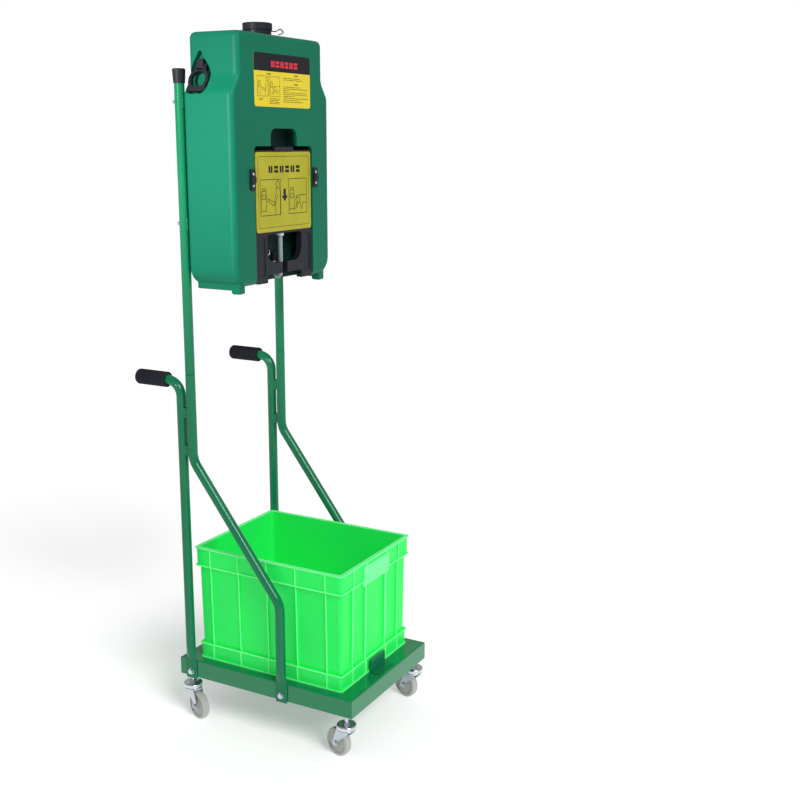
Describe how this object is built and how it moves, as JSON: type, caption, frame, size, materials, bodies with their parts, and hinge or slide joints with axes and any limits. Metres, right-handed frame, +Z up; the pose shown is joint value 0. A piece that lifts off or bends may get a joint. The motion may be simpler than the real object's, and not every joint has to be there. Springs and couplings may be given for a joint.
{
  "type": "eyewash station",
  "caption": "Mobile gravity-fed eyewash station: green tank with a pull-down spray arm on a two-mast caster trolley with a lift-out basket.",
  "frame": {"origin": "on the floor, under the middle of the overall bounding box", "axes": "+Z up, -Y towards the front (label side), +X to the right seen from the front"},
  "size_m": [0.4448, 0.638, 1.822],
  "materials": {
    "steel_green": "gloss",
    "tank_green": "satin",
    "basket_green": "satin, slightly translucent",
    "black_plastic": "matte",
    "black_foam": "matte foam",
    "zinc": "bright zinc",
    "chrome": "polished",
    "wheel_white": "satin",
    "label_yellow": "gloss film",
    "plate_yellow": "satin",
    "hose_clear": "translucent",
    "nut_white": "satin",
    "gasket": "matte"
  },
  "bodies": {
    "chassis": {"platform_deck": "steel_green", "deck_stiffeners": "steel_green", "caster_plates": "steel_green", "basket_bracket": "steel_green", "mast_end_caps": "black_plastic", "tube_spacers": "steel_green", "foot_bolts": "zinc", "foot_nuts": "zinc", "caster_stems": "zinc", "caster_nuts": "zinc", "caster_top_races": "chrome", "caster_balls": "chrome", "cross_bars": "steel_green", "bar_bolts": "zinc", "tank_bolts": "zinc", "tank_shell": "tank_green", "upper_label": "label_yellow", "cap_gasket": "gasket", "cap_tether": "black_plastic", "handle_lugs": "black_plastic", "arm_hinge_pins": "zinc", "catch_screws": "zinc", "outlet_fitting": "black_plastic", "feed_hose": "hose_clear", "drain_plug": "black_plastic", "drain_ring": "zinc", "handle_tube_left": "steel_green", "mast_lower_left": "steel_green", "mast_upper_left": "steel_green", "grip_left": "black_foam", "catch_left": "black_plastic", "handle_tube_right": "steel_green", "mast_lower_right": "steel_green", "mast_upper_right": "steel_green", "grip_right": "black_foam", "catch_right": "black_plastic"},
    "basket": {"basket": "basket_green"},
    "fill_cap": {"fill_cap": "black_plastic"},
    "arm": {"arm_frame": "black_plastic", "arm_plate": "plate_yellow", "hose_collar": "nut_white", "spray_pipe": "black_plastic", "spray_head_left": "black_plastic", "spray_head_right": "black_plastic"},
    "side_handle_left": {"side_handle_left": "black_plastic"},
    "side_handle_right": {"side_handle_right": "black_plastic"},
    "front_left_swivel": {"front_left_fork": "zinc", "front_left_axle": "zinc"},
    "front_left_wheel": {"front_left_wheel": "wheel_white"},
    "front_right_swivel": {"front_right_fork": "zinc", "front_right_axle": "zinc"},
    "front_right_wheel": {"front_right_wheel": "wheel_white"},
    "rear_left_swivel": {"rear_left_fork": "zinc", "rear_left_axle": "zinc"},
    "rear_left_wheel": {"rear_left_wheel": "wheel_white"},
    "rear_right_swivel": {"rear_right_fork": "zinc", "rear_right_axle": "zinc"},
    "rear_right_wheel": {"rear_right_wheel": "wheel_white"}
  },
  "joints": [
    {"name": "basket_lift", "type": "slide", "parent": "chassis", "child": "basket", "axis": [0, 0, 1], "range_m": [0, 0.3]},
    {"name": "cap_turn", "type": "hinge", "parent": "chassis", "child": "fill_cap", "pos_m": [0, 0.06175, 1.8], "axis": [0, 0, 1], "range_deg": [0, 450]},
    {"name": "arm_pull", "type": "hinge", "parent": "chassis", "child": "arm", "pos_m": [0, 0.0005, 1.199], "axis": [1, 0, 0], "range_deg": [0, 90], "deforming": ["feed_hose"]},
    {"name": "side_handle_left_swing", "type": "hinge", "parent": "chassis", "child": "side_handle_left", "pos_m": [-0.1795, 0.099, 1.711], "axis": [0, 1, 0], "range_deg": [0, 75]},
    {"name": "side_handle_right_swing", "type": "hinge", "parent": "chassis", "child": "side_handle_right", "pos_m": [0.1795, 0.099, 1.711], "axis": [0, -1, 0], "range_deg": [0, 75]},
    {"name": "front_left_swivel_turn", "type": "hinge", "parent": "chassis", "child": "front_left_swivel", "pos_m": [-0.183, -0.293, 0.08], "axis": [0, 0, 1], "continuous": true},
    {"name": "front_left_wheel_spin", "type": "hinge", "parent": "front_left_swivel", "child": "front_left_wheel", "pos_m": [-0.17575, -0.26595, 0.0375], "axis": [-0.9659, 0.2588, 0], "continuous": true},
    {"name": "front_right_swivel_turn", "type": "hinge", "parent": "chassis", "child": "front_right_swivel", "pos_m": [0.183, -0.293, 0.08], "axis": [0, 0, 1], "continuous": true},
    {"name": "front_right_wheel_spin", "type": "hinge", "parent": "front_right_swivel", "child": "front_right_wheel", "pos_m": [0.19025, -0.26595, 0.0375], "axis": [-0.9659, 0.2588, 0], "continuous": true},
    {"name": "rear_left_swivel_turn", "type": "hinge", "parent": "chassis", "child": "rear_left_swivel", "pos_m": [-0.183, 0.195, 0.08], "axis": [0, 0, 1], "continuous": true},
    {"name": "rear_left_wheel_spin", "type": "hinge", "parent": "rear_left_swivel", "child": "rear_left_wheel", "pos_m": [-0.19258, 0.16869, 0.0375], "axis": [0.9397, -0.342, 0], "continuous": true},
    {"name": "rear_right_swivel_turn", "type": "hinge", "parent": "chassis", "child": "rear_right_swivel", "pos_m": [0.183, 0.195, 0.08], "axis": [0, 0, 1], "continuous": true},
    {"name": "rear_right_wheel_spin", "type": "hinge", "parent": "rear_right_swivel", "child": "rear_right_wheel", "pos_m": [0.197, 0.17075, 0.0375], "axis": [0.866, 0.5, 0], "continuous": true}
  ]
}
